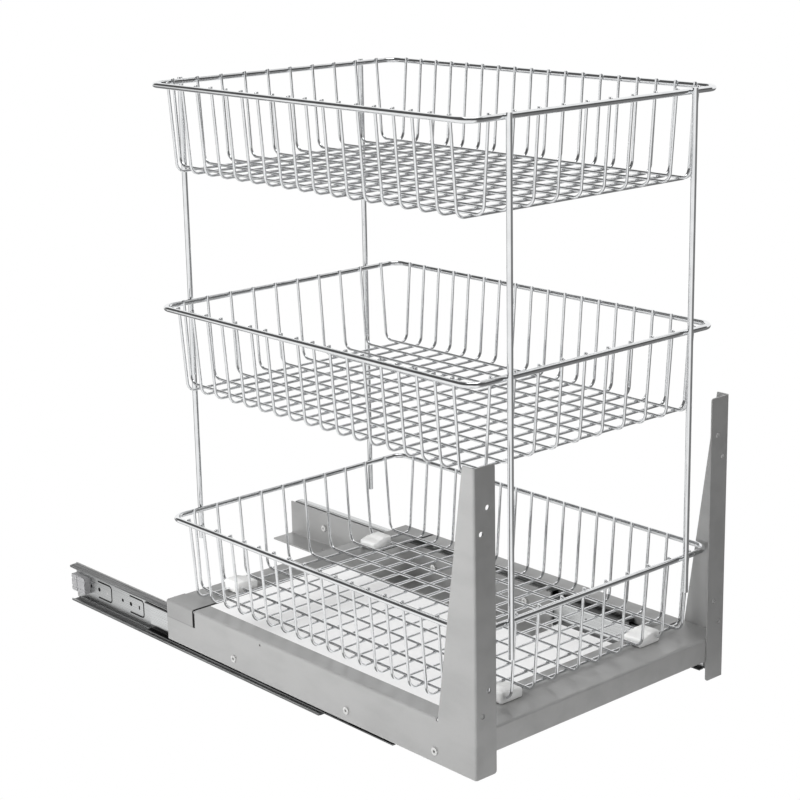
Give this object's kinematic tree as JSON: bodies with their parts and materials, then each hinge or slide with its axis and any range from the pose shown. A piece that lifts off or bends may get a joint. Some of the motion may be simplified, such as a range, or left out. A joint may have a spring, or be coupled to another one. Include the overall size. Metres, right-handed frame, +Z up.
{
  "type": "pull-out cabinet basket unit",
  "caption": "Tiered chrome wire baskets on corner posts, clipped to a folded steel frame that pulls out of a cabinet on ball-bearing slides, with brackets for the door.",
  "frame": {"origin": "on the cabinet floor, at the centre of the four floor holes in the two base angles", "axes": "+X to the unit's right as seen from the cabinet door, +Y into the cabinet, -Y the way it pulls out, +Z up"},
  "size_m": [0.3646, 0.7058, 0.6333],
  "materials": {
    "silver_paint": "satin silver-grey powder coat",
    "zinc_fastener": "bright zinc plate",
    "zinc_steel": "bright zinc plate over cold-rolled strip",
    "cage_steel": "plain pressed strip",
    "ball_steel": "polished hardened steel",
    "grey_plastic": "moulded",
    "white_plastic": "moulded, slightly translucent",
    "chrome_wire": "bright chrome plate"
  },
  "bodies": {
    "base": {"base_angle_left": "silver_paint", "base_angle_right": "silver_paint", "slide_screws_left": "zinc_fastener", "slide_screws_right": "zinc_fastener", "slide_outer_left": "zinc_steel", "slide_outer_right": "zinc_steel", "slide_buffer_left": "grey_plastic", "slide_buffer_right": "grey_plastic"},
    "basket_unit": {"slide_inner_left": "zinc_steel", "slide_inner_right": "zinc_steel", "slide_rivets_left": "zinc_fastener", "slide_rivets_right": "zinc_fastener", "side_plate_left": "silver_paint", "side_plate_right": "silver_paint", "front_cross_member": "silver_paint", "rear_cross_member": "silver_paint", "basket_clip_front_left": "white_plastic", "basket_clip_front_right": "white_plastic", "basket_clip_rear_left": "white_plastic", "basket_clip_rear_right": "white_plastic", "clip_screws": "zinc_fastener", "bottom_basket_rim": "chrome_wire", "bottom_basket_cross_wires": "chrome_wire", "bottom_basket_long_wires": "chrome_wire", "middle_basket_rim": "chrome_wire", "middle_basket_cross_wires": "chrome_wire", "middle_basket_long_wires": "chrome_wire", "top_basket_rim": "chrome_wire", "top_basket_cross_wires": "chrome_wire", "top_basket_long_wires": "chrome_wire", "post_front_left": "chrome_wire", "post_front_right": "chrome_wire", "post_rear_left": "chrome_wire", "post_rear_right": "chrome_wire"},
    "slide_middle_left": {"slide_middle_left": "zinc_steel"},
    "outer_cage_left": {"outer_cage_left": "cage_steel", "outer_balls_left": "ball_steel"},
    "inner_cage_left": {"inner_cage_left": "cage_steel", "inner_balls_left": "ball_steel"},
    "slide_middle_right": {"slide_middle_right": "zinc_steel"},
    "outer_cage_right": {"outer_cage_right": "cage_steel", "outer_balls_right": "ball_steel"},
    "inner_cage_right": {"inner_cage_right": "cage_steel", "inner_balls_right": "ball_steel"}
  },
  "joints": [
    {"name": "pull_out", "type": "slide", "parent": "base", "child": "basket_unit", "axis": [0, -1, 0], "range_m": [-0.228, 0.232]},
    {"name": "slide_middle_left_run", "type": "slide", "parent": "base", "child": "slide_middle_left", "axis": [0, -1, 0], "range_m": [-0.114, 0.116]},
    {"name": "outer_cage_left_run", "type": "slide", "parent": "base", "child": "outer_cage_left", "axis": [0, -1, 0], "range_m": [-0.057, 0.058]},
    {"name": "inner_cage_left_run", "type": "slide", "parent": "base", "child": "inner_cage_left", "axis": [0, -1, 0], "range_m": [-0.171, 0.174]},
    {"name": "slide_middle_right_run", "type": "slide", "parent": "base", "child": "slide_middle_right", "axis": [0, -1, 0], "range_m": [-0.114, 0.116]},
    {"name": "outer_cage_right_run", "type": "slide", "parent": "base", "child": "outer_cage_right", "axis": [0, -1, 0], "range_m": [-0.057, 0.058]},
    {"name": "inner_cage_right_run", "type": "slide", "parent": "base", "child": "inner_cage_right", "axis": [0, -1, 0], "range_m": [-0.171, 0.174]}
  ],
  "couplings": [
    {"joint": "slide_middle_left_run", "follows": "pull_out", "ratio": 0.5},
    {"joint": "outer_cage_left_run", "follows": "pull_out", "ratio": 0.25},
    {"joint": "inner_cage_left_run", "follows": "pull_out", "ratio": 0.75},
    {"joint": "slide_middle_right_run", "follows": "pull_out", "ratio": 0.5},
    {"joint": "outer_cage_right_run", "follows": "pull_out", "ratio": 0.25},
    {"joint": "inner_cage_right_run", "follows": "pull_out", "ratio": 0.75}
  ]
}
